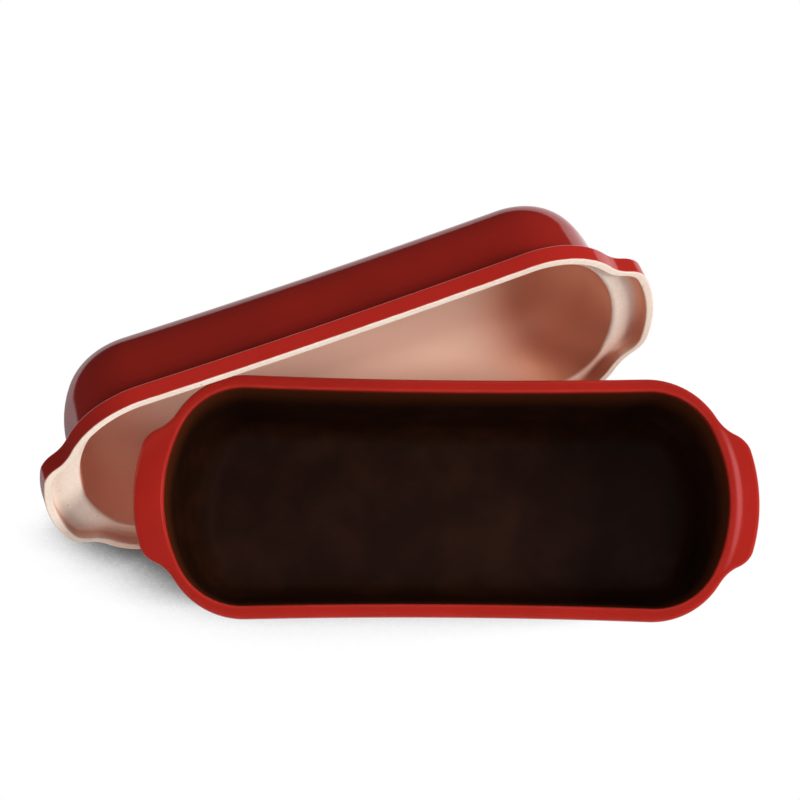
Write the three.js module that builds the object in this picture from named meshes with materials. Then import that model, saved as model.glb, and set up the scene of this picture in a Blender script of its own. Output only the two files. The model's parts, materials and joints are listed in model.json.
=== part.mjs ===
// A ceramic loaf baker: a long trough with two tab handles, and its domed lid.
// The lid stands on its long side on the floor, and the base rests on the lower edge of its mouth.
// Millimetres, +Z up, X along the base's length, floor at z = 0.
import * as THREE from "three";

// Sizes of the base, seen from above
const baseLength = 378.8; // over both handles
const handleReach = 12.3; // how far a handle stands out from the body's end
const handleFlat = 30.8; // half width of a handle's front edge, between its corners
const handleCorner = 11; // radius of a handle's corners
const handleFillet = 12; // radius of the hollow by which a handle runs into the body
const waistWidth = 144.6; // across the middle of the long sides
const sideRadius = 4000; // the long sides are very slightly hollow
const endRadius = 106;
const cornerRadius = 49.5;

// Sizes of the base, seen in section
const baseHeight = 86;
const rimWidth = 7.8; // the rim the lid sits on
const rimDepth = 6; // height of the rim's outer edge
const rimRound = 2; // the rim's three edges
const rimEase = 0.4; // from those rounds to the top between them
const crownRadius = 45; // the rim's top is round outside its crest, near its inner edge
const crownRun = 6.2; // at a handle that round ends this far out, in a crease with the handle's flat
const underRim = 4.2; // how far the wall stands back under the rim
const underDrop = 6.2; // height of the slope from the rim's edge back to the wall
const underRound = 3; // where that slope meets the wall
const baseLean = 13; // how far the wall has come in at the foot
const footRound = 11;
const floorThickness = 7.5;
const innerLean = 12.5; // how far the inner wall comes in from rim to floor
const innerRound = 18;
const innerLonger = 1.9; // the rim is this much narrower at both ends, and the inside longer

// Sizes of the lid
const lidHeight = 69;
const skirtReach = 8; // the skirt's outside, measured out from the base's rim
const skirtThickness = 5;
const skirtHeight = 12;
const skirtDraft = 0.5; // how much thinner the skirt is at its lower edge
const skirtTopRound = 1.6;
const skirtEdgeRound = 1; // both sides of the lower edge
const shelfDepth = 8.2; // from the skirt's lower edge to the shelf that sits on the rim
const shelfRound = 3; // the hollow between the shelf and the skirt
const mouthRound = 2; // the shelf's inner edge
const mouthLonger = 4; // the shelf is this much narrower at both ends
const ledgeRise = 2.5; // the skirt's top climbs this much to the foot of the dome
const ledgeRound = 3.5; // the hollow at the foot of the dome
const domeFoot = 0.8; // where the dome's wall starts, measured in from the base's rim
const domeLean = 3.5; // how far the dome's wall comes in up to its shoulder
const domeShorter = 1.5; // how much more the dome comes in at its two ends
const domeRound = 29;
const lidThickness = 7;

// Where the two pieces stand
const lidTurn = 19.9; // degrees the lid's length is turned from the base's
const baseTurn = -0.2;
const baseAside = 56.6; // from the lid's mouth to the middle of the base's rim, along X
const baseBehind = 12.5; // how far the base's rear rim lies behind the middle of the lid's mouth
const restGap = 0.3;

// Steps of the outline in one quarter, of each rounded corner and of the searches
// Shares of the end arc, closer together where a handle runs out
const endShares = [0, 0.25, 0.5, 0.7, 0.78, 0.84, 0.89, 0.95];
const cornerSteps = 10;
const sideSteps = 4;
const roundSteps = 3;
const wideSteps = 5;
const crownSteps = 4;
const capMargin = 4; // from a wide round to the edge of the flat that it ends in
const betweenSteps = 4; // points tried along each facet of the lid, to seat the base
const searchSteps = 50;
const lidLeanRange = [0.05, 0.8]; // radians
const baseTiltRange = [0, 0.4]; // radians

const degrees = Math.PI / 180;
const bodyHalf = baseLength / 2 - handleReach;
const endCentre = bodyHalf - endRadius;
const sideCentre = waistWidth / 2 + sideRadius;

// The centre of the corner arc, which touches the end arc from inside and the hollow side from outside
function findCorner() {
  const fromEnd = endRadius - cornerRadius;
  const fromSide = sideRadius + cornerRadius;
  const apart = Math.hypot(endCentre, sideCentre);
  const along = (fromEnd ** 2 - fromSide ** 2 + apart ** 2) / (2 * apart);
  const across = Math.sqrt(fromEnd ** 2 - along ** 2);
  const ux = -endCentre / apart;
  const uy = sideCentre / apart;
  return { x: endCentre + along * ux + across * uy, y: along * uy - across * ux };
}

// How far a handle stands out at this distance from the middle of the end: a corner arc, then a hollow arc
function handleAt(y) {
  const both = handleCorner + handleFillet;
  const turn = Math.acos(1 - handleReach / both);
  const beyond = Math.max(0, Math.abs(y) - handleFlat);
  const left = Math.max(0, both * Math.sin(turn) - beyond);
  if (beyond < handleCorner * Math.sin(turn)) {
    return handleReach - handleCorner + Math.sqrt(handleCorner ** 2 - beyond ** 2);
  }
  return handleFillet - Math.sqrt(handleFillet ** 2 - left ** 2);
}

// One quarter of the body's outline, from the middle of the end to the middle of the side
function quarterOutline() {
  const corner = findCorner();
  const endTurn = Math.atan2(corner.y, corner.x - endCentre);
  const sideTurn = Math.atan2(sideCentre - corner.y, -corner.x);
  const points = [];
  const add = (x, y, turn) => {
    points.push({ x, y, nx: Math.cos(turn), ny: Math.sin(turn), reach: handleAt(y) });
  };
  for (const share of endShares) {
    const turn = endTurn * share;
    add(endCentre + endRadius * Math.cos(turn), endRadius * Math.sin(turn), turn);
  }
  for (let i = 0; i <= cornerSteps; i += 1) {
    const turn = endTurn + ((sideTurn - endTurn) * i) / cornerSteps;
    add(corner.x + cornerRadius * Math.cos(turn), corner.y + cornerRadius * Math.sin(turn), turn);
  }
  for (let i = 1; i <= sideSteps; i += 1) {
    const turn = sideTurn + ((Math.PI / 2 - sideTurn) * i) / sideSteps;
    add(-sideRadius * Math.cos(turn), sideCentre - sideRadius * Math.sin(turn), turn);
  }
  return points;
}

// The whole outline, anticlockwise, from four mirrored quarters
function wholeOutline() {
  const quarter = quarterOutline();
  const mirrored = (p, sx, sy) => {
    return { x: sx * p.x, y: sy * p.y, nx: sx * p.nx, ny: sy * p.ny, reach: sx * p.reach };
  };
  const last = quarter.length - 1;
  const first = quarter.map((p) => mirrored(p, 1, 1));
  const second = quarter.slice(0, last).reverse().map((p) => mirrored(p, -1, 1));
  const third = quarter.slice(1).map((p) => mirrored(p, -1, -1));
  const fourth = quarter.slice(1, last).reverse().map((p) => mirrored(p, 1, -1));
  return [...first, ...second, ...third, ...fourth];
}

// A section as corners { inset, height, handle, round, steps, shorter }, each eased over its round in steps
// A corner of no steps stays as it is
function easedSection(corners) {
  const mix = (a, b, t) => {
    const blend = (key) => a[key] + (b[key] - a[key]) * t;
    return {
      inset: blend("inset"),
      height: blend("height"),
      handle: blend("handle"),
      shorter: blend("shorter"),
    };
  };
  const section = [corners[0]];
  for (let i = 1; i < corners.length - 1; i += 1) {
    const here = corners[i];
    if (here.steps === 0) {
      section.push(here);
      continue;
    }
    const towards = (other) => {
      const distance = Math.hypot(other.inset - here.inset, other.height - here.height);
      return mix(here, other, here.round / distance);
    };
    const start = towards(corners[i - 1]);
    const end = towards(corners[i + 1]);
    for (let step = 0; step <= here.steps; step += 1) {
      const t = step / here.steps;
      section.push(mix(mix(start, here, t), mix(here, end, t), t));
    }
  }
  section.push(corners[corners.length - 1]);
  return section;
}

function makeRing(outline, level, dropAt = () => 0) {
  return outline.map((p) => {
    const x = (p.x - level.inset * p.nx) * (1 - level.shorter / bodyHalf) + level.handle * p.reach;
    const y = p.y - level.inset * p.ny;
    return new THREE.Vector3(x, y, level.height - dropAt(p, level));
  });
}

// A closed shell through rings that run up the outside and down the inside, flat at both ends
function makeShell(rings, turnedOver) {
  const count = rings[0].length;
  const positions = rings.flat().flatMap((p) => [p.x, p.y, p.z]);
  const faces = [];
  const add = (a, b, c) => faces.push(...(turnedOver ? [a, c, b] : [a, b, c]));
  for (let r = 0; r < rings.length - 1; r += 1) {
    for (let i = 0; i < count; i += 1) {
      const next = (i + 1) % count;
      const low = r * count;
      const high = low + count;
      add(low + i, low + next, high + next);
      add(low + i, high + next, high + i);
    }
  }
  // The flat ends are strips across the width, between points that mirror each other
  const half = count / 2;
  const top = (rings.length - 1) * count;
  for (let i = 0; i < half; i += 1) {
    const near = (count - i) % count;
    const nearNext = count - i - 1;
    if (i > 0) {
      add(i, near, nearNext);
      add(top + i, top + nearNext, top + near);
    }
    if (i < half - 1) {
      add(i, nearNext, i + 1);
      add(top + i, top + i + 1, top + nearNext);
    }
  }
  const geometry = new THREE.BufferGeometry();
  geometry.setAttribute("position", new THREE.Float32BufferAttribute(positions, 3));
  geometry.setIndex(faces);
  geometry.computeVertexNormals();
  return geometry;
}

function corner(inset, height, handle, round, steps, shorter = 0) {
  return { inset, height, handle, round, steps, shorter };
}

const outline = wholeOutline();

// The rim's top, from its crest out to a handle
const crestInset = rimWidth - rimRound - rimEase;
const crownCorners = Array.from({ length: crownSteps + 1 }, (_, step) => {
  const share = step / crownSteps;
  const inset = rimRound + rimEase + (crestInset - rimRound - rimEase) * share;
  return corner(inset, baseHeight, 1 - share, 0, 0, -innerLonger * share);
});

// How much lower than its crest the rim's top is: a round, then the flat of a handle
function crownDrop(p, level) {
  const longer = ((level.shorter + innerLonger) / bodyHalf) * p.x * p.nx;
  const out = crestInset - level.inset + level.handle * p.reach * p.nx - longer;
  const run = Math.min(crownRun, Math.max(0, out));
  const share = Math.min(1, Math.max(0, (level.height - baseHeight + rimDepth) / rimDepth));
  return (share * run ** 2) / (2 * crownRadius);
}

const baseSection = easedSection([
  corner(baseLean + footRound + capMargin, 0, 0, 0, 0),
  corner(baseLean, 0, 0, footRound, wideSteps),
  corner(underRim, baseHeight - rimDepth - underDrop, 0, underRound, roundSteps),
  corner(0, baseHeight - rimDepth, 1, rimRound, roundSteps),
  corner(0, baseHeight, 1, rimRound, roundSteps),
  ...crownCorners,
  corner(rimWidth, baseHeight, 0, rimRound, roundSteps, -innerLonger),
  corner(rimWidth + innerLean, floorThickness, 0, innerRound, wideSteps, -innerLonger),
  corner(rimWidth + innerLean + innerRound + capMargin, floorThickness, 0, 0, 0, -innerLonger),
]);

const skirtInside = skirtThickness - skirtReach;
const domeShoulder = domeFoot + domeLean;
const domeFlat = domeShoulder + domeRound + capMargin;
const hollowRound = domeRound - lidThickness;
const ceiling = lidHeight - lidThickness;
const lidSection = easedSection([
  corner(domeFlat, lidHeight, 0, 0, 0, domeShorter),
  corner(domeShoulder, lidHeight, 0, domeRound, wideSteps, domeShorter),
  corner(domeFoot, skirtHeight + ledgeRise, 0, ledgeRound, roundSteps),
  corner(-skirtReach, skirtHeight, 1, skirtTopRound, roundSteps),
  corner(-skirtReach, 0, 1, skirtEdgeRound, roundSteps),
  corner(skirtInside, 0, 1, skirtEdgeRound, roundSteps),
  corner(skirtInside + skirtDraft, shelfDepth, 1, shelfRound, roundSteps),
  corner(rimWidth, shelfDepth, 0, mouthRound, roundSteps, -mouthLonger),
  corner(domeShoulder + lidThickness, ceiling, 0, hollowRound, wideSteps, domeShorter),
  corner(domeFlat, ceiling, 0, 0, 0, domeShorter),
]);

const baseRings = baseSection.map((level) => makeRing(outline, level, crownDrop));
const lidRings = lidSection.map((level) => makeRing(outline, level));

// The point of a range where a value that falls from above zero to below it is zero
function solve(value, range) {
  let [from, to] = range;
  for (let i = 0; i < searchSteps; i += 1) {
    const middle = (from + to) / 2;
    if (value(middle) > 0) {
      from = middle;
    } else {
      to = middle;
    }
  }
  return (from + to) / 2;
}

// The lid lies on its long side: on the skirt's upper edge and on the shoulder of the dome
const lidPoints = lidRings.flat();
const lidDrop = (p, lean) => -p.y * Math.cos(lean) - p.z * Math.sin(lean);
const lowest = (points, lean) => Math.min(...points.map((p) => lidDrop(p, lean)));
const skirtPoints = lidPoints.filter((p) => p.z <= skirtHeight);
const domePoints = lidPoints.filter((p) => p.z > skirtHeight + ledgeRise);
const lidLean = solve((lean) => lowest(domePoints, lean) - lowest(skirtPoints, lean), lidLeanRange);

const lidTurned = lidTurn * degrees;
const lidAlong = new THREE.Vector3(Math.cos(lidTurned), Math.sin(lidTurned), 0);
const mouthLevel = new THREE.Vector3(Math.sin(lidTurned), -Math.cos(lidTurned), 0);
const upward = new THREE.Vector3(0, 0, 1);
const mouthFacing = mouthLevel.clone().multiplyScalar(Math.cos(lidLean));
mouthFacing.addScaledVector(upward, Math.sin(lidLean));
const domeFacing = mouthFacing.clone().negate();
const lidAcross = domeFacing.clone().cross(lidAlong);
const lidPlace = new THREE.Matrix4().makeBasis(lidAlong, lidAcross, domeFacing);
lidPlace.setPosition(0, 0, -lowest(lidPoints, lidLean));

// The base tips towards the viewer until its outside clears the lid by the gap, over the mouth's lower edge
const basePoints = baseRings.flat();
const baseInFront = waistWidth / 2 - baseBehind;
function placeBase(tilt) {
  const up = upward.clone().multiplyScalar(Math.cos(tilt)).addScaledVector(mouthLevel, Math.sin(tilt));
  const turned = new THREE.Vector3(Math.cos(baseTurn * degrees), Math.sin(baseTurn * degrees), 0);
  const along = turned.addScaledVector(up, -turned.dot(up)).normalize();
  const place = new THREE.Matrix4().makeBasis(along, up.clone().cross(along), up);
  const rimMiddle = up.clone().multiplyScalar(baseHeight);
  const onFloor = Math.min(...basePoints.map((p) => p.clone().applyMatrix4(place).z));
  place.setPosition(baseAside - rimMiddle.x, -baseInFront - rimMiddle.y, -onFloor);
  return place;
}

// How far inside the body's outline a point lies
function insetAt(x, y) {
  const apart = (p) => (p.x - x) ** 2 + (p.y - y) ** 2;
  const nearest = outline.reduce((best, p) => (apart(p) < apart(best) ? p : best));
  return (nearest.x - x) * nearest.nx + (nearest.y - y) * nearest.ny;
}

// The height of the base's outside over a point that lies this far inside the outline
function outsideHeight(inset) {
  const next = baseSection.findIndex((level) => level.inset <= inset);
  if (next < 0) {
    return Infinity;
  }
  const level = baseSection[next];
  const before = baseSection[Math.max(0, next - 1)];
  const share = next > 0 ? (inset - level.inset) / (before.inset - level.inset) : 0;
  return level.height + (before.height - level.height) * share;
}

// Points along the facets of the lid, where it stands
function alongRing(ring) {
  const steps = Array.from({ length: betweenSteps }, (_, step) => step / betweenSteps);
  return ring.flatMap((p, i) => steps.map((t) => p.clone().lerp(ring[(i + 1) % ring.length], t)));
}
const lidInPlace = lidRings.flatMap(alongRing).map((p) => p.applyMatrix4(lidPlace));
function gapToLid(tilt) {
  const back = placeBase(tilt).invert();
  const seen = lidInPlace.map((p) => p.clone().applyMatrix4(back));
  const under = seen.filter((p) => p.z < baseHeight / 2);
  return Math.min(...under.map((p) => outsideHeight(insetAt(p.x, p.y)) - p.z));
}
const basePlace = placeBase(solve((tilt) => restGap - gapToLid(tilt), baseTiltRange));

const baseGlaze = new THREE.MeshStandardMaterial({ color: 0x9c231b, roughness: 0.25 });
const lidGlaze = new THREE.MeshStandardMaterial({ color: 0x8e2019, roughness: 0.3 });

const baker = new THREE.Group();
baker.name = "loaf_baker";
function addPiece(name, rings, turnedOver, material, place) {
  const mesh = new THREE.Mesh(makeShell(rings, turnedOver), material);
  mesh.name = name;
  mesh.applyMatrix4(place);
  baker.add(mesh);
}
addPiece("base", baseRings, false, baseGlaze, basePlace);
addPiece("lid", lidRings, true, lidGlaze, lidPlace);

// The frame's origin is on the floor, under the middle of the pair
const bounds = new THREE.Box3();
for (const [points, place] of [[basePoints, basePlace], [lidPoints, lidPlace]]) {
  points.forEach((p) => bounds.expandByPoint(p.clone().applyMatrix4(place)));
}
const middle = bounds.getCenter(new THREE.Vector3());
for (const mesh of baker.children) {
  mesh.position.sub(new THREE.Vector3(middle.x, middle.y, bounds.min.z));
}

export default baker;
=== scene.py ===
import json
import math

import bpy
import numpy as np
from mathutils import Matrix, Vector


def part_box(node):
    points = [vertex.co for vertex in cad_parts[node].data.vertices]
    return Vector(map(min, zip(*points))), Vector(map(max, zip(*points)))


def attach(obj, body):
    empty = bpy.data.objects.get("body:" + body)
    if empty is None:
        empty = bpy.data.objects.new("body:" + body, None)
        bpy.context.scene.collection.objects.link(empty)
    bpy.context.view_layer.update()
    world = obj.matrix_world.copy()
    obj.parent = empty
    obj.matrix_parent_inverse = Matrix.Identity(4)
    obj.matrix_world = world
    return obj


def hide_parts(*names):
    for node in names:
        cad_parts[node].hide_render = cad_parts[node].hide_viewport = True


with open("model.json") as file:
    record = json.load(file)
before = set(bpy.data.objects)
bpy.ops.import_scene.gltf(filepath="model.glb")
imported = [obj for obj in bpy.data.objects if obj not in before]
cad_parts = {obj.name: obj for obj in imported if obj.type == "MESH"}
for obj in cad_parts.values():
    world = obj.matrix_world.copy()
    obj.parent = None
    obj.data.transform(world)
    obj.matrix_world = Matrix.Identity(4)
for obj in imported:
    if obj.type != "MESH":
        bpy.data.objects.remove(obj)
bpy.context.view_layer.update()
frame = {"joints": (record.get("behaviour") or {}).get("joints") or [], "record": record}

# A ceramic loaf baker: a long glazed trough and its domed lid, as fine shells in place of the solids.
# Sizes are in millimetres, and the meshes are in metres.
MM = 0.001

# Both pieces, seen from above
BASE_LENGTH = 378.8
HANDLE_REACH = 12.3
HANDLE_FLAT = 30.8
HANDLE_CORNER = 11.0
HANDLE_FILLET = 12.0
WAIST_WIDTH = 144.6
SIDE_RADIUS = 4000.0
END_RADIUS = 106.0
CORNER_RADIUS = 49.5

# The base in section
BASE_HEIGHT = 86.0
RIM_WIDTH = 7.8
RIM_DEPTH = 6.0
RIM_ROUND = 2.0
RIM_EDGE_ROUND = 3.0  # the rim's upper outer edge
RIM_EASE = 0.4
CROWN_RADIUS = 45.0  # the rim's top is round outside its crest
CROWN_RUN = 6.2  # at a handle that round ends this far out, and the handle slopes on
UNDER_RIM = 4.2
UNDER_DROP = 6.2
UNDER_ROUND = 3.0
BASE_LEAN = 13.0
FOOT_ROUND = 11.0
FLOOR_THICKNESS = 7.5
INNER_LEAN = 12.5
INNER_ROUND = 18.0
INNER_LONGER = 1.9  # how much further the inside reaches at both ends
BASE_TURN = -0.2  # degrees that the base's length is turned from X

# The lid in section
LID_HEIGHT = 69.0
SKIRT_REACH = 8.0
SKIRT_THICKNESS = 5.0
SKIRT_HEIGHT = 12.0
SKIRT_DRAFT = 0.5
SKIRT_TOP_ROUND = 1.6
SKIRT_EDGE_ROUND = 1.0
SHELF_DEPTH = 8.2
SHELF_ROUND = 3.0
MOUTH_ROUND = 2.0
MOUTH_LONGER = 4.0
LEDGE_RISE = 2.5
LEDGE_ROUND = 3.5
DOME_FOOT = 0.8
DOME_LEAN = 3.5
DOME_SHORTER = 1.5
DOME_ROUND = 29.0
LID_THICKNESS = 7.0

# Steps of the fine shells
END_STEPS = 44
CORNER_STEPS = 40
SIDE_STEPS = 20
ROUND_STEPS = 8
WIDE_STEPS = 18
SPAN_STEP = 5.0  # longest step along a straight stretch of a section
CROWN_STEP = 0.15  # the same across the rim's top, which is far wider at a handle
GUARD = 0.2  # a level this close to each round keeps the shading of the flats clean
CAP_MARGIN = 4.0

BODY_HALF = BASE_LENGTH / 2 - HANDLE_REACH
END_CENTRE = BODY_HALF - END_RADIUS
SIDE_CENTRE = WAIST_WIDTH / 2 + SIDE_RADIUS
CREST_INSET = RIM_WIDTH - RIM_ROUND - RIM_EASE

# Finishes, as linear colours
RED = (0.335, 0.0142, 0.0092)
RED_DEEP = (0.20, 0.0100, 0.0060)
RED_THIN = (0.46, 0.0330, 0.0230)
# A painted highlight: the lit line along the lid's skirt ridge.
RED_RIDGE_HIGHLIGHT = (0.60, 0.1700, 0.1350)
RED_SKIRT = (0.47, 0.0210, 0.0140)
LINING = (0.0110, 0.0036, 0.0017)
LINING_BROWN = (0.0200, 0.0060, 0.0028)
LINING_THIN = (0.0620, 0.0145, 0.0048)
CLAY = (0.83, 0.700, 0.600)
CLAY_DARK = (0.75, 0.600, 0.490)
TAN = (0.73, 0.470, 0.360)
# Painted light and shade on the lid's clay: the next colour lifts the hollow's shaded left end, and the one
# after browns clay in shade.
TAN_LIGHT_PAINT = (0.95, 0.505, 0.350)
TAN_SHADE_PAINT = (0.71, 0.295, 0.178)
SPECK = (0.20, 0.10, 0.05)

# Roughness, and how much the surfaces mirror
BASE_GLOSS = (0.07, 0.13)
LID_GLOSS = (0.06, 0.11)
LINING_SATIN = (0.36, 0.46)
CLAY_ROUGHNESS = 0.82
HOLLOW_ROUGHNESS = 0.6
GLAZE_SPECULAR = 0.5
LINING_SPECULAR = 0.2
GLAZE_IOR = 1.5

# Noise scales, per metre, and the noise values between which each texture changes
DRIFT_SCALE = 14.0
DRIFT_SPAN = (0.3, 0.75)
PATCH_SCALE = 60.0
GLOSS_SCALE = 48.0
PATCH_SPAN = (0.3, 0.7)
STREAK_SCALE = 36.0
STREAK_SPAN = (0.4, 0.75)
SATIN_SPAN = (0.3, 0.75)
GRAIN_SCALE = 420.0
CLOUD_SCALE = 22.0
GRAIN_SPAN = (0.35, 0.68)
GRAIN_SHARE = 0.55  # the clouds in the clay have the rest
SPECK_SCALE = 95.0
SPECK_SPAN = (0.035, 0.06)
MOTTLE_SCALE = 30.0
MOTTLE_DEPTH = 0.2
RAGGED_SCALE = 130.0
PEEL_SCALE = 170.0
PEEL_DEPTH = 0.05
GRAIN_DEPTH = 0.25
BUMP_STRENGTH = 0.5
BUMP_DISTANCE = 0.0006

# Where a finish changes along a section, in millimetres from a corner of it
THIN_EDGE = (0.2, 1.8)
LINING_START = (-0.8, 5.0)
LINING_FADE = (3.0, 32.0)
LINING_RAGGED = 0.6
FOOT_BARE = (3.6, 4.4)
FOOT_RAGGED = 0.6
DOME_START = (-4.0, 3.0)
SKIRT_START = (-7.0, -4.0)
# painted highlight along the skirt's ridge
RIDGE_HIGHLIGHT = (0.25, 0.75)
SKIRT_BARE = (-0.75, 0.15)
SKIRT_RAGGED = 0.25
# painted shade on the skirt's inner wall, from its edge to the shelf
WALL_SHADE_SPAN = (0.5, 2.5)
HOLLOW_START = (0.6, 1.8)
HOLLOW_RAGGED = 0.3

# Where painted light and shade change along the lid, in metres from its middle
DOME_DEEPENING = (-0.17, 0.17)
LEFT_SHADE_END = (-0.185, -0.125)
LIGHT_PAINT_END = (-0.16, -0.09)
SHADE_PAINT_END = (0.085, 0.14)

# How strong the changes are, as shares
DRIFT_SHARE = 0.3
DEEPEN_SHARE = 0.7
THIN_SHARE = 0.55
THIN_PATCH = 0.5  # least part of that share in the patches
DOME_SHARES = (1.5, 0.6)  # how far the dome is deepened at its left and right ends; the fall between them is painted shade
SKIRT_SHARE = 0.5
RIDGE_SHARE = 0.75
WALL_SHADE_SHARE = 0.65
SPECK_SHARE = 0.6

# The floor and its shadow
FLOOR_SIZE = 6.0
FLOOR_GAP = 0.0004
FLOOR_COLOUR = (0.86, 0.86, 0.86, 1.0)
SHADOW_LEAN = (0.80, -0.25, 0.55)  # the floor's shadow falls away from this direction
SHADOW_REACH = 0.22
SHADOW_SAMPLES = 32
SHADOW_SPAN = (0.50, 0.675)  # open share of the sky from full shadow to none, beside the pair
FRONT_SPAN = (0.535, 0.685)  # the same in front of the pair
CONTACT_SPAN = (0.20, 0.42)  # the same behind the pair
BESIDE = (-0.098, -0.075)  # Y where the front's shadow turns into that beside the pair
BEHIND = (-0.055, 0.0)  # Y where that turns into the shadow behind the pair
SHADOW_LEVEL = 0.06

# What the glaze mirrors: a pale table with a painted shadow by the lid's left end, a small lamp and a dark
# room
TABLE_MIDDLE = (0.03, 0.10)
TABLE_SPAN = (0.38, 0.43)
TABLE_TINT = (1.0, 0.86, 0.88)
DIM_MIDDLE = (-0.19, 0.0)
DIM_SPAN = (0.02, 0.21)
DIM_LEVEL = 0.25
MIRROR_TURN = 6.0
MIRROR_HEIGHT = 69.6
MIRROR_SPAN = (0.9962, 0.9997)  # cosines from the lamp's middle between which it fades in
MIRROR_LEVEL = 5.2
MIRROR_TINT = (1.0, 0.38, 0.42)
ROOM_LEVEL = 0.06
BACKDROP_TOP = -0.30  # height on the unit sky where the white backdrop ends
BACKDROP_FADE = 0.06
WHITE = (1.0, 1.0, 1.0)

# Lamps: degrees from X, degrees over the floor, then metres away, wide and high, then watts
KEY_TURN = -6.0
KEY_HEIGHT = 35.0
SOFTBOXES = {
    "key": (KEY_TURN, KEY_HEIGHT, 4.4, 1.6, 1.4, 190.0),
    "back": (90.0, 62.0, 2.0, 1.4, 0.8, 10.0),
    "front": (-130.0, 28.0, 2.2, 1.2, 0.8, 15.0),
    "top": (-95.0, 66.0, 2.2, 1.2, 0.8, 11.0),
}
AMBIENT = 0.08
# painted shade on the lid's clay, where it is covered from the key
SHADE_REACH = 0.10  # metres within which a place is covered from the key
SHADE_SAMPLES = 12
SHADE_SPAN = (0.18, 0.36)

# The photograph's camera
VIEW_SIZE = 800.0
FOCAL_PIXELS = 2446.7
VIEW_ELEVATION = 73.30
VIEW_DISTANCE = 1.5915
VIEW_AIM = (-0.0005, 0.0363, 0.0)


def handle_at(y):
    """How far a handle stands out: a rounded corner that runs into the body by a hollow fillet."""
    both = HANDLE_CORNER + HANDLE_FILLET
    turn = math.acos(1 - HANDLE_REACH / both)
    beyond = np.abs(y) - HANDLE_FLAT
    left = both * math.sin(turn) - beyond
    corner = HANDLE_REACH - HANDLE_CORNER + np.sqrt(HANDLE_CORNER**2 - np.clip(beyond, 0, HANDLE_CORNER)**2)
    fillet = HANDLE_FILLET - np.sqrt(HANDLE_FILLET**2 - np.clip(left, 0, HANDLE_FILLET)**2)
    return np.where(beyond < HANDLE_CORNER * math.sin(turn), corner, fillet)


def corner_centre():
    """The corner arc touches the end arc from inside and the hollow side from outside."""
    from_end = END_RADIUS - CORNER_RADIUS
    from_side = SIDE_RADIUS + CORNER_RADIUS
    apart = math.hypot(END_CENTRE, SIDE_CENTRE)
    along = (from_end**2 - from_side**2 + apart**2) / (2 * apart)
    across = math.sqrt(from_end**2 - along**2)
    ux = -END_CENTRE / apart
    uy = SIDE_CENTRE / apart
    return END_CENTRE + along * ux + across * uy, along * uy - across * ux


def quarter_outline():
    """Points, outward normals and handle reach, from the middle of the end to the middle of the side."""
    cx, cy = corner_centre()
    end_turn = math.atan2(cy, cx - END_CENTRE)
    side_turn = math.atan2(SIDE_CENTRE - cy, -cx)
    end = np.linspace(0, end_turn, END_STEPS + 1)[:-1]
    corner = np.linspace(end_turn, side_turn, CORNER_STEPS + 1)
    side = np.linspace(side_turn, math.pi / 2, SIDE_STEPS + 1)[1:]
    turns = np.concatenate([end, corner, side])
    x = np.concatenate([
        END_CENTRE + END_RADIUS * np.cos(end),
        cx + CORNER_RADIUS * np.cos(corner),
        -SIDE_RADIUS * np.cos(side),
    ])
    y = np.concatenate([
        END_RADIUS * np.sin(end),
        cy + CORNER_RADIUS * np.sin(corner),
        SIDE_CENTRE - SIDE_RADIUS * np.sin(side),
    ])
    reach = handle_at(y)
    return np.stack([x, y, np.cos(turns), np.sin(turns), reach], axis=1)


def whole_outline():
    quarter = quarter_outline()

    def mirrored(points, sx, sy):
        return points * np.array([sx, sy, sx, sy, sx])

    return np.concatenate([
        quarter,
        mirrored(quarter[:-1][::-1], -1, 1),
        mirrored(quarter[1:], -1, -1),
        mirrored(quarter[1:-1][::-1], 1, -1),
    ])


def leg(here, other, distance):
    """The place this far from one corner of a section towards another."""
    length = np.hypot(*(other - here)[:2])
    return here + (other - here) * distance / length


def eased_section(corners):
    """Levels (inset, height, handle share, shorter) of a section, and where along it each corner is."""
    places = [np.array(bend["at"], float) for bend in corners]
    stretch = [places[0]]
    steps_of = {}
    marks = {}
    for index in range(1, len(corners) - 1):
        bend = corners[index]
        before, here, after = places[index - 1:index + 2]
        steps_of[len(stretch)] = bend["span_step"]
        if bend["steps"] == 0:
            stretch.append(here)
            continue
        start = leg(here, before, bend["round"])
        end = leg(here, after, bend["round"])
        stretch.append(leg(here, before, bend["round"] + GUARD))
        for t in np.linspace(0, 1, bend["steps"] + 1):
            steps_of[len(stretch)] = SPAN_STEP
            stretch.append((start * (1 - t) + here * t) * (1 - t) + (here * (1 - t) + end * t) * t)
        marks[bend["name"]] = len(stretch) - 1 - bend["steps"] // 2
        steps_of[len(stretch)] = SPAN_STEP
        stretch.append(leg(here, after, bend["round"] + GUARD))
    steps_of[len(stretch)] = SPAN_STEP
    stretch.append(places[-1])
    levels = [stretch[0]]
    kept = {}
    for index in range(1, len(stretch)):
        length = np.hypot(*(stretch[index] - stretch[index - 1])[:2])
        count = max(1, math.ceil(length / steps_of[index]))
        for step in range(1, count + 1):
            levels.append(stretch[index - 1] + (stretch[index] - stretch[index - 1]) * step / count)
        kept[index] = len(levels) - 1
    levels = np.array(levels)
    steps = np.hypot(*np.diff(levels[:, :2], axis=0).T)
    along = np.concatenate([[0], np.cumsum(steps)])
    return levels, along, {name: along[kept[index]] for name, index in marks.items()}


def corner(name, inset, height, handle=0, round_=0.0, steps=ROUND_STEPS, shorter=0.0, span_step=SPAN_STEP):
    at = (inset, height, handle, shorter)
    return {"name": name, "at": at, "round": round_, "steps": steps, "span_step": span_step}


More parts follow.
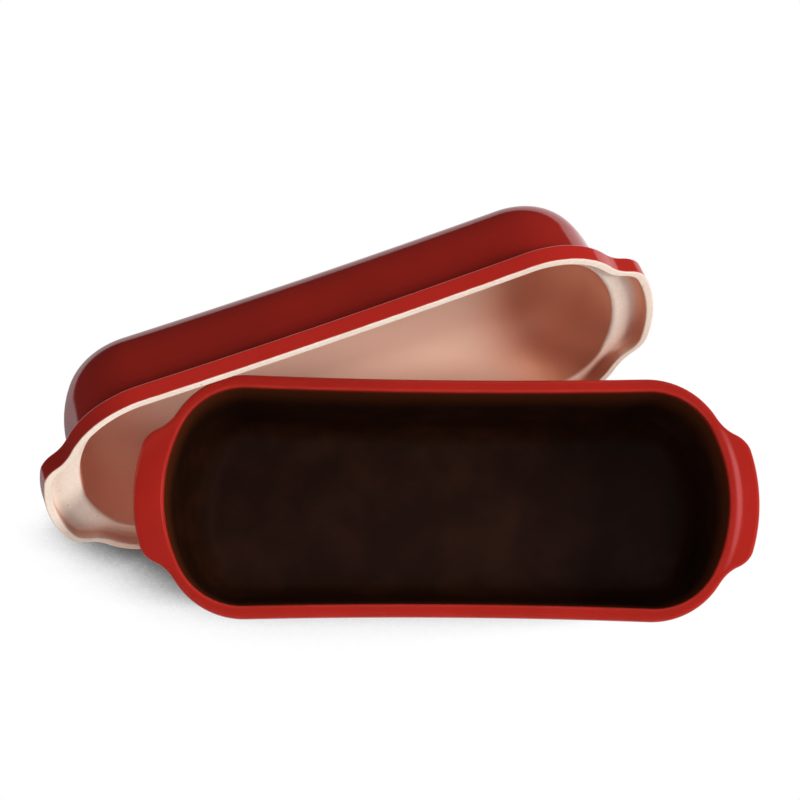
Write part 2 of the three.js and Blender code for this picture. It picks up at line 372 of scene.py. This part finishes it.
def base_corners():
    inside = RIM_WIDTH + INNER_LEAN
    return [
        corner("under", BASE_LEAN + FOOT_ROUND + CAP_MARGIN, 0),
        corner("foot", BASE_LEAN, 0, 0, FOOT_ROUND, WIDE_STEPS),
        corner("under_rim", UNDER_RIM, BASE_HEIGHT - RIM_DEPTH - UNDER_DROP, 0, UNDER_ROUND),
        corner("rim_lower", 0, BASE_HEIGHT - RIM_DEPTH, 1, RIM_ROUND),
        corner("rim_outer", 0, BASE_HEIGHT, 1, RIM_EDGE_ROUND),
        corner("tab", RIM_EDGE_ROUND + RIM_EASE, BASE_HEIGHT, 1, steps=0),
        corner("crest", CREST_INSET, BASE_HEIGHT, 0, steps=0, shorter=-INNER_LONGER, span_step=CROWN_STEP),
        corner("rim_inner", RIM_WIDTH, BASE_HEIGHT, 0, RIM_ROUND, shorter=-INNER_LONGER),
        corner("floor", inside, FLOOR_THICKNESS, 0, INNER_ROUND, WIDE_STEPS, -INNER_LONGER),
        corner("middle", inside + INNER_ROUND + CAP_MARGIN, FLOOR_THICKNESS, shorter=-INNER_LONGER),
    ]


def lid_corners():
    skirt_inside = SKIRT_THICKNESS - SKIRT_REACH
    shoulder = DOME_FOOT + DOME_LEAN
    flat = shoulder + DOME_ROUND + CAP_MARGIN
    ceiling = LID_HEIGHT - LID_THICKNESS
    hollow_round = DOME_ROUND - LID_THICKNESS
    ledge = SKIRT_HEIGHT + LEDGE_RISE
    return [
        corner("top", flat, LID_HEIGHT, shorter=DOME_SHORTER),
        corner("shoulder", shoulder, LID_HEIGHT, 0, DOME_ROUND, WIDE_STEPS, DOME_SHORTER),
        corner("ledge", DOME_FOOT, ledge, 0, LEDGE_ROUND),
        corner("skirt_top", -SKIRT_REACH, SKIRT_HEIGHT, 1, SKIRT_TOP_ROUND),
        corner("skirt_outer", -SKIRT_REACH, 0, 1, SKIRT_EDGE_ROUND),
        corner("skirt_inner", skirt_inside, 0, 1, SKIRT_EDGE_ROUND),
        corner("shelf", skirt_inside + SKIRT_DRAFT, SHELF_DEPTH, 1, SHELF_ROUND),
        corner("mouth", RIM_WIDTH, SHELF_DEPTH, 0, MOUTH_ROUND, shorter=-MOUTH_LONGER),
        corner("hollow", shoulder + LID_THICKNESS, ceiling, 0, hollow_round, WIDE_STEPS, DOME_SHORTER),
        corner("ceiling", flat, ceiling, shorter=DOME_SHORTER),
    ]


OUTLINE = whole_outline()
STATIONS = len(OUTLINE)


def shell_points(levels):
    x, y, nx, ny, reach = OUTLINE.T
    inset, height, handle, shorter = (levels[:, k:k + 1] for k in range(4))
    px = (x - inset * nx) * (1 - shorter / BODY_HALF) + handle * reach
    py = y - inset * ny
    pz = np.repeat(height, STATIONS, axis=1)
    return np.stack([px, py, pz], axis=2)


def crown(levels, points):
    """Lowers the rim's top outside its crest, so that it is round in section and the handles slope."""
    inset, height, handle, shorter = (levels[:, k:k + 1] for k in range(4))
    x, y, nx, ny, reach = OUTLINE.T
    longer = (shorter + INNER_LONGER) / BODY_HALF * x * nx
    out = CREST_INSET - inset + handle * reach * nx - longer
    share = np.clip((height - BASE_HEIGHT + RIM_DEPTH) / RIM_DEPTH, 0, 1)
    run = np.clip(out, 0, CROWN_RUN)
    beyond = np.maximum(out, run) - run
    points[:, :, 2] -= share * (run**2 / 2 + CROWN_RUN * beyond) / CROWN_RADIUS
    return points


def shell_faces(level_count, turned_over):
    faces = []
    for level in range(level_count - 1):
        low = level * STATIONS
        for i in range(STATIONS):
            n = (i + 1) % STATIONS
            faces.append((low + i, low + n, low + STATIONS + n, low + STATIONS + i))
    # The flat ends are strips across the width, between points that mirror each other
    half = STATIONS // 2
    top = (level_count - 1) * STATIONS
    for i in range(half):
        near = (STATIONS - i) % STATIONS
        near_next = STATIONS - i - 1
        strip = [i, near, near_next, i + 1]
        if i == 0:
            strip = [i, near_next, i + 1]
        if i == half - 1:
            strip = [i, near, near_next]
        faces.append(tuple(strip))
        faces.append(tuple(top + k for k in reversed(strip)))
    if turned_over:
        faces = [face[::-1] for face in faces]
    return faces


def place_points(points, turn, node):
    """Turns a piece's own points as the solid is turned, and centres them on the solid's box."""
    turned = points.reshape(-1, 3) * MM @ np.array(turn.to_3x3().transposed())
    low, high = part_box(node)
    middle = (turned.max(axis=0) + turned.min(axis=0)) / 2
    return turned + np.array((low + high) / 2) - middle


def add_values(mesh, name, values):
    layer = mesh.attributes.new(name, "FLOAT", "POINT")
    layer.data.foreach_set("value", np.ascontiguousarray(values, dtype=np.float32).ravel())


def make_piece(name, node, body, corners, turn, turned_over, measure, shape=None):
    """One fine shell in place of a solid, with its own coordinates and the measures its material reads."""
    levels, along, marks = eased_section(corners)
    points = shell_points(levels)
    if shape:
        points = shape(levels, points)
    mesh = bpy.data.meshes.new(name)
    vertices = place_points(points, turn, node)
    mesh.from_pydata(vertices.tolist(), [], shell_faces(len(levels), turned_over))
    mesh.shade_smooth()
    own = mesh.attributes.new("own", "FLOAT_VECTOR", "POINT")
    own.data.foreach_set("vector", np.ascontiguousarray(points * MM, dtype=np.float32).ravel())
    for key, values in measure(along, marks).items():
        add_values(mesh, key, np.repeat(values, STATIONS))
    piece = bpy.data.objects.new(name, mesh)
    bpy.context.scene.collection.objects.link(piece)
    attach(piece, body)
    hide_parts(node)
    return piece


def nearest(along, marks, names):
    return np.min([np.abs(along - marks[name]) for name in names], axis=0)


def base_measures(along, marks):
    """Millimetres along the section from the corners at which the base's finish changes."""
    return {
        "lining": along - marks["rim_inner"],
        "bare": marks["foot"] - along,
        "edge": nearest(along, marks, ("rim_lower", "rim_outer", "rim_inner")),
    }


def lid_measures(along, marks):
    """Millimetres along the section from the corners at which the lid's finish changes."""
    return {
        "bare": along - marks["skirt_outer"],
        "deep": along - marks["mouth"],
        "edge": nearest(along, marks, ("skirt_top", "skirt_outer")),
        "dome": marks["ledge"] - along,
        "wall": np.minimum(along - marks["skirt_inner"], marks["shelf"] - along),
        "ridge": np.abs(along - marks["skirt_top"]),
    }


def base_turn():
    up = -Vector(frame["record"]["mounts"][0]["axis"])
    turn = math.radians(BASE_TURN)
    level = Vector((math.cos(turn), math.sin(turn), 0))
    length = (level - level.dot(up) * up).normalized()
    return Matrix((length, up.cross(length), up)).transposed()


def lid_turn():
    mouth = Vector(frame["joints"][0]["axis"]).normalized()
    length = Vector((-mouth.y, mouth.x, 0)).normalized()
    dome = -mouth
    return Matrix((length, dome.cross(length), dome)).transposed()


class Nodes:
    """Short ways to add nodes to one tree."""

    def __init__(self, tree):
        self.tree = tree

    def add(self, kind, settings=None, **inputs):
        node = self.tree.nodes.new(kind)
        for key, value in (settings or {}).items():
            setattr(node, key, value)
        for key, value in inputs.items():
            self.feed(node.inputs[key.replace("_", " ")], value)
        return node

    def feed(self, socket, value):
        if isinstance(value, bpy.types.NodeSocket):
            self.tree.links.new(value, socket)
        else:
            socket.default_value = value

    def math(self, operation, first, second=0.0):
        node = self.add("ShaderNodeMath", {"operation": operation})
        self.feed(node.inputs[0], first)
        self.feed(node.inputs[1], second)
        return node.outputs[0]

    def span(self, value, low, high, to_low=0.0, to_high=1.0):
        node = self.add("ShaderNodeMapRange", {"interpolation_type": "SMOOTHSTEP"})
        for key, given in zip(("Value", "From Min", "From Max", "To Min", "To Max"),
                              (value, low, high, to_low, to_high)):
            self.feed(node.inputs[key], given)
        return node.outputs["Result"]

    def blend(self, share, first, second):
        node = self.add("ShaderNodeMix", {"data_type": "RGBA"})
        self.feed(node.inputs[0], share)
        for socket, colour in ((node.inputs[6], first), (node.inputs[7], second)):
            self.feed(socket, colour if isinstance(colour, bpy.types.NodeSocket) else (*colour, 1.0))
        return node.outputs[2]

    def mix(self, share, first, second):
        node = self.add("ShaderNodeMix", {"data_type": "FLOAT"})
        for socket, value in zip(node.inputs[:4], (share, None, first, second)):
            if value is not None:
                self.feed(socket, value)
        return node.outputs[0]

    def measure(self, name):
        return self.add("ShaderNodeAttribute", {"attribute_name": name}).outputs["Fac"]

    def own(self):
        return self.add("ShaderNodeAttribute", {"attribute_name": "own"}).outputs["Vector"]

    def noise(self, vector, scale, detail=2.0, roughness=0.5):
        node = self.add("ShaderNodeTexNoise", Vector=vector, Scale=scale, Detail=detail, Roughness=roughness)
        return node.outputs["Fac"]

    def fixed(self, vector):
        """A vector that is the same everywhere."""
        node = self.add("ShaderNodeCombineXYZ", X=vector[0], Y=vector[1], Z=vector[2])
        return node.outputs[0]

    def distance(self, place, middle):
        """How far a place is from a spot on the floor."""
        node = self.add("ShaderNodeVectorMath", {"operation": "DISTANCE"})
        self.feed(node.inputs[0], place)
        self.feed(node.inputs[1], (*middle, 0.0))
        return node.outputs["Value"]


def new_material(name):
    material = bpy.data.materials.new(name)
    material.use_nodes = True
    material.node_tree.nodes.clear()
    nodes = Nodes(material.node_tree)
    output = nodes.add("ShaderNodeOutputMaterial")
    shader = nodes.add("ShaderNodeBsdfPrincipled")
    material.node_tree.links.new(shader.outputs[0], output.inputs["Surface"])
    return material, nodes, shader


def red_glaze(nodes, own, deepening=0.0):
    """Glossy glaze: deeper with a random drift and with the deepening it is given, lighter where it runs
    thin over an edge.
    """
    drift = nodes.span(nodes.noise(own, DRIFT_SCALE, detail=3.0), *DRIFT_SPAN, 0.0, DRIFT_SHARE)
    depth = nodes.math("ADD", drift, nodes.math("MULTIPLY", deepening, DEEPEN_SHARE))
    body = nodes.blend(depth, RED, RED_DEEP)
    thin = nodes.span(nodes.measure("edge"), *THIN_EDGE, THIN_SHARE, 0.0)
    patch = nodes.span(nodes.noise(own, PATCH_SCALE), *PATCH_SPAN, THIN_PATCH, 1.0)
    return nodes.blend(nodes.math("MULTIPLY", thin, patch), body, RED_THIN)


def clay_body(nodes, own):
    """Bare fired clay with a fine grain and a few iron specks."""
    grain = nodes.noise(own, GRAIN_SCALE, detail=4.0, roughness=0.65)
    cloud = nodes.math("MULTIPLY", nodes.noise(own, CLOUD_SCALE), 1.0 - GRAIN_SHARE)
    shade = nodes.math("ADD", nodes.math("MULTIPLY", grain, GRAIN_SHARE), cloud)
    body = nodes.blend(nodes.span(shade, *GRAIN_SPAN), CLAY, CLAY_DARK)
    cells = nodes.add("ShaderNodeTexVoronoi", Vector=own, Scale=SPECK_SCALE)
    speck = nodes.span(cells.outputs["Distance"], *SPECK_SPAN, SPECK_SHARE, 0.0)
    return nodes.blend(speck, body, SPECK), grain


def painted_key_shade(nodes):
    """Painted shade: how far a place is turned away from the key or covered from it; there the pale clay is
    coloured brown.
    """
    open_sky = nodes.add("ShaderNodeAmbientOcclusion", {"samples": SHADE_SAMPLES}, Distance=SHADE_REACH,
                         Normal=nodes.fixed(towards(KEY_TURN, KEY_HEIGHT)))
    return nodes.span(open_sky.outputs["AO"], *SHADE_SPAN, 1.0, 0.0)


def ragged(nodes, own, name, reach):
    """A measure with its edge made uneven by this many millimetres."""
    wave = nodes.math("SUBTRACT", nodes.noise(own, RAGGED_SCALE, detail=3.0), 0.5)
    return nodes.math("ADD", nodes.measure(name), nodes.math("MULTIPLY", wave, 2 * reach))


def gloss_of(nodes, own, roughness):
    return nodes.span(nodes.noise(own, GLOSS_SCALE, detail=3.0), *PATCH_SPAN, *roughness)


def base_material():
    """Red glaze outside, a near-black satin lining that is brown at its edge, and a bare foot."""
    material, nodes, shader = new_material("base_glaze")
    own = nodes.own()
    red = red_glaze(nodes, own)
    clay, grain = clay_body(nodes, own)
    streak = nodes.noise(own, STREAK_SCALE, detail=4.0, roughness=0.6)
    lining = nodes.blend(nodes.span(streak, *STREAK_SPAN), LINING, LINING_BROWN)
    lining = nodes.blend(nodes.span(nodes.measure("lining"), *LINING_FADE), LINING_THIN, lining)
    inside = nodes.span(ragged(nodes, own, "lining", LINING_RAGGED), *LINING_START)
    under = nodes.span(ragged(nodes, own, "bare", FOOT_RAGGED), *FOOT_BARE)
    colour = nodes.blend(under, nodes.blend(inside, red, lining), clay)
    satin = nodes.span(streak, *SATIN_SPAN, *LINING_SATIN)
    rough = nodes.mix(under, nodes.mix(inside, gloss_of(nodes, own, BASE_GLOSS), satin), CLAY_ROUGHNESS)
    finish(nodes, shader, own, colour, rough, under, grain)
    nodes.feed(shader.inputs["Specular IOR Level"], nodes.mix(inside, GLAZE_SPECULAR, LINING_SPECULAR))
    return material


def lid_red(nodes, own, length):
    """The lid's glaze: deeper on the dome with painted shade growing toward the left end, bright on the
    skirt, with a painted highlight on its ridge.
    """
    # Painted shade: the dome is deepened more toward the lid's left end, and the whole left end is darker.
    dome = nodes.span(nodes.measure("dome"), *DOME_START)
    deepening = nodes.math("MULTIPLY", dome, nodes.span(length, *DOME_DEEPENING, *DOME_SHARES))
    left_shade = nodes.span(length, *LEFT_SHADE_END, 1.0, 0.0)
    red = red_glaze(nodes, own, nodes.math("MAXIMUM", deepening, left_shade))
    skirt = nodes.span(nodes.measure("dome"), *SKIRT_START, SKIRT_SHARE, 0.0)
    skirt = nodes.math("MULTIPLY", skirt, nodes.math("SUBTRACT", 1.0, left_shade))
    red = nodes.blend(skirt, red, RED_SKIRT)
    # Painted highlight along the ridge of the skirt.
    ridge = nodes.span(nodes.measure("ridge"), *RIDGE_HIGHLIGHT, RIDGE_SHARE, 0.0)
    return nodes.blend(ridge, red, RED_RIDGE_HIGHLIGHT)


def hollow_tan(nodes, own, length):
    """The lid's hollow: painted light at its shaded left end, painted shade at its right end, a little
    mottled.
    """
    mottle = nodes.math("SUBTRACT", nodes.noise(own, MOTTLE_SCALE, detail=3.0), 0.5)
    mottle = nodes.math("MULTIPLY", mottle, MOTTLE_DEPTH)
    # Painted light: the hollow's left end, which lies in shade, is made lighter and warmer.
    light_left = nodes.span(length, *LIGHT_PAINT_END, 1.0, 0.0)
    tan = nodes.blend(nodes.math("ADD", light_left, mottle), TAN, TAN_LIGHT_PAINT)
    # Painted shade: the hollow's right end, out of the key's reach, is brown.
    return nodes.blend(nodes.span(length, *SHADE_PAINT_END), tan, TAN_SHADE_PAINT)


def lid_material():
    """Red glaze outside, pale clay on the skirt's edge and shelf, and tan clay in the hollow, with painted
    light and shade on the clay.
    """
    material, nodes, shader = new_material("lid_glaze")
    own = nodes.own()
    length = nodes.add("ShaderNodeSeparateXYZ", Vector=own).outputs["X"]
    clay, grain = clay_body(nodes, own)
    # Painted shade: the skirt's inner wall is made brown.
    clay = nodes.blend(nodes.span(nodes.measure("wall"), *WALL_SHADE_SPAN, 0.0, WALL_SHADE_SHARE), clay, TAN_SHADE_PAINT)
    # Painted shade where the key does not reach the clay.
    clay = nodes.blend(painted_key_shade(nodes), clay, TAN_SHADE_PAINT)
    bare = nodes.span(ragged(nodes, own, "bare", SKIRT_RAGGED), *SKIRT_BARE)
    deep = nodes.span(ragged(nodes, own, "deep", HOLLOW_RAGGED), *HOLLOW_START)
    inside = nodes.blend(deep, clay, hollow_tan(nodes, own, length))
    colour = nodes.blend(bare, lid_red(nodes, own, length), inside)
    matt = nodes.mix(deep, CLAY_ROUGHNESS, HOLLOW_ROUGHNESS)
    rough = nodes.mix(bare, gloss_of(nodes, own, LID_GLOSS), matt)
    finish(nodes, shader, own, colour, rough, bare, grain)
    return material


def finish(nodes, shader, own, colour, rough, bare, grain):
    """Joins colour, roughness and bump: glaze has a faint orange peel, clay has its grain."""
    peel = nodes.math("MULTIPLY", nodes.noise(own, PEEL_SCALE), PEEL_DEPTH)
    tooth = nodes.math("MULTIPLY", grain, GRAIN_DEPTH)
    bump = nodes.add("ShaderNodeBump", Strength=BUMP_STRENGTH, Distance=BUMP_DISTANCE,
                     Height=nodes.mix(bare, peel, tooth))
    nodes.feed(shader.inputs["Base Color"], colour)
    nodes.feed(shader.inputs["Roughness"], rough)
    nodes.feed(shader.inputs["Normal"], bump.outputs["Normal"])
    shader.inputs["IOR"].default_value = GLAZE_IOR


def floor_shadow(nodes, place):
    """The floor's brightness where the pair covers it from the light."""
    open_sky = nodes.add("ShaderNodeAmbientOcclusion", {"samples": SHADOW_SAMPLES}, Distance=SHADOW_REACH,
                         Normal=nodes.fixed(SHADOW_LEAN))
    depth = nodes.add("ShaderNodeSeparateXYZ", Vector=place).outputs["Y"]
    beside = nodes.span(depth, *BESIDE)
    behind = nodes.span(depth, *BEHIND)
    limits = [nodes.mix(beside, *pair) for pair in zip(FRONT_SPAN, SHADOW_SPAN)]
    limits = [nodes.mix(behind, *pair) for pair in zip(limits, CONTACT_SPAN)]
    return nodes.span(open_sky.outputs["AO"], *limits, SHADOW_LEVEL, 1.0)


def mirrored_table(nodes, place):
    """The floor's brightness as the glaze mirrors it, with a painted shadow by the lid's left end."""
    table = nodes.span(nodes.distance(place, TABLE_MIDDLE), *TABLE_SPAN, 1.0, ROOM_LEVEL)
    reflected_shadow = nodes.span(nodes.distance(place, DIM_MIDDLE), *DIM_SPAN, DIM_LEVEL, 1.0)
    return nodes.math("MULTIPLY", table, reflected_shadow)


def floor_material():
    """White with shadows to the camera, a table to the glaze, and pale and matt to all other light."""
    material = bpy.data.materials.new("floor_white")
    material.use_nodes = True
    material.node_tree.nodes.clear()
    nodes = Nodes(material.node_tree)
    path = nodes.add("ShaderNodeLightPath")
    glossy = path.outputs["Is Glossy Ray"]
    seen = nodes.math("MAXIMUM", path.outputs["Is Camera Ray"], glossy)
    seen = nodes.math("MAXIMUM", seen, path.outputs["Is Transmission Ray"])
    place = nodes.add("ShaderNodeNewGeometry").outputs["Position"]
    level = nodes.mix(glossy, 1.0, mirrored_table(nodes, place))
    level = nodes.math("MULTIPLY", floor_shadow(nodes, place), level)
    glow = nodes.add("ShaderNodeEmission", Color=nodes.blend(glossy, WHITE, TABLE_TINT), Strength=level)
    matt = nodes.add("ShaderNodeBsdfDiffuse", Color=FLOOR_COLOUR)
    both = nodes.add("ShaderNodeMixShader")
    for socket, value in zip(both.inputs, (seen, matt.outputs[0], glow.outputs[0])):
        nodes.feed(socket, value)
    output = nodes.add("ShaderNodeOutputMaterial")
    nodes.feed(output.inputs["Surface"], both.outputs[0])
    return material


def make_floor():
    mesh = bpy.data.meshes.new("floor")
    corners = [(-1, -1), (1, -1), (1, 1), (-1, 1)]
    mesh.from_pydata([(x * FLOOR_SIZE, y * FLOOR_SIZE, -FLOOR_GAP) for x, y in corners], [], [(0, 1, 2, 3)])
    floor = bpy.data.objects.new("floor", mesh)
    bpy.context.scene.collection.objects.link(floor)
    mesh.materials.append(floor_material())


def towards(turn, height):
    """The direction at this turn from X and this height over the floor, in degrees."""
    turn = math.radians(turn)
    height = math.radians(height)
    return Vector((math.cos(height) * math.cos(turn), math.cos(height) * math.sin(turn), math.sin(height)))


def make_world():
    """Dim light from all sides, and what the glaze mirrors above the floor. The camera sees white."""
    world = bpy.data.worlds.new("studio")
    bpy.context.scene.world = world
    world.use_nodes = True
    world.node_tree.nodes.clear()
    nodes = Nodes(world.node_tree)
    direction = nodes.add("ShaderNodeTexCoord").outputs["Generated"]
    height = nodes.add("ShaderNodeSeparateXYZ", Vector=direction).outputs["Z"]
    path = nodes.add("ShaderNodeLightPath")
    glossy = path.outputs["Is Glossy Ray"]
    facing = nodes.add("ShaderNodeVectorMath", {"operation": "DOT_PRODUCT"})
    nodes.feed(facing.inputs[0], direction)
    nodes.feed(facing.inputs[1], towards(MIRROR_TURN, MIRROR_HEIGHT))
    lamp = nodes.math("MULTIPLY", nodes.span(facing.outputs["Value"], *MIRROR_SPAN), glossy)
    room = nodes.span(height, BACKDROP_TOP, BACKDROP_TOP + BACKDROP_FADE, 1.0, ROOM_LEVEL)
    mirrored = nodes.math("ADD", room, nodes.math("MULTIPLY", lamp, MIRROR_LEVEL))
    light = nodes.mix(glossy, AMBIENT, mirrored)
    seen = nodes.math("MAXIMUM", path.outputs["Is Camera Ray"], path.outputs["Is Transmission Ray"])
    background = nodes.add("ShaderNodeBackground", Color=nodes.blend(lamp, WHITE, MIRROR_TINT),
                           Strength=nodes.mix(seen, light, 1.0))
    output = nodes.add("ShaderNodeOutputWorld")
    nodes.feed(output.inputs["Surface"], background.outputs[0])


def add_softbox(name, direction, distance, width, height, power):
    data = bpy.data.lights.new(name, "AREA")
    data.shape = "RECTANGLE"
    data.size = width
    data.size_y = height
    data.energy = power
    lamp = bpy.data.objects.new(name, data)
    bpy.context.scene.collection.objects.link(lamp)
    lamp.location = direction * distance
    lamp.rotation_euler = (-direction).to_track_quat("-Z", "Y").to_euler()
    lamp.visible_glossy = False


def make_lights():
    for name, (turn, height, *rest) in SOFTBOXES.items():
        add_softbox(name, towards(turn, height), *rest)


def make_camera():
    data = bpy.data.cameras.new("camera")
    data.sensor_fit = "HORIZONTAL"
    data.angle = 2 * math.atan(VIEW_SIZE / 2 / FOCAL_PIXELS)
    camera = bpy.data.objects.new("camera", data)
    bpy.context.scene.collection.objects.link(camera)
    tip = math.radians(VIEW_ELEVATION)
    camera.location = Vector(VIEW_AIM) + VIEW_DISTANCE * Vector((0, -math.cos(tip), math.sin(tip)))
    camera.rotation_euler = (math.pi / 2 - tip, 0, 0)
    bpy.context.scene.camera = camera


base = make_piece("base_shell", "base", "base", base_corners(), base_turn(), False,
                  base_measures, crown)
base.data.materials.append(base_material())
lid = make_piece("lid_shell", "lid", "lid", lid_corners(), lid_turn(), True, lid_measures)
lid.data.materials.append(lid_material())
make_floor()
make_world()
make_lights()
make_camera()
bpy.context.scene.view_settings.view_transform = "Standard"
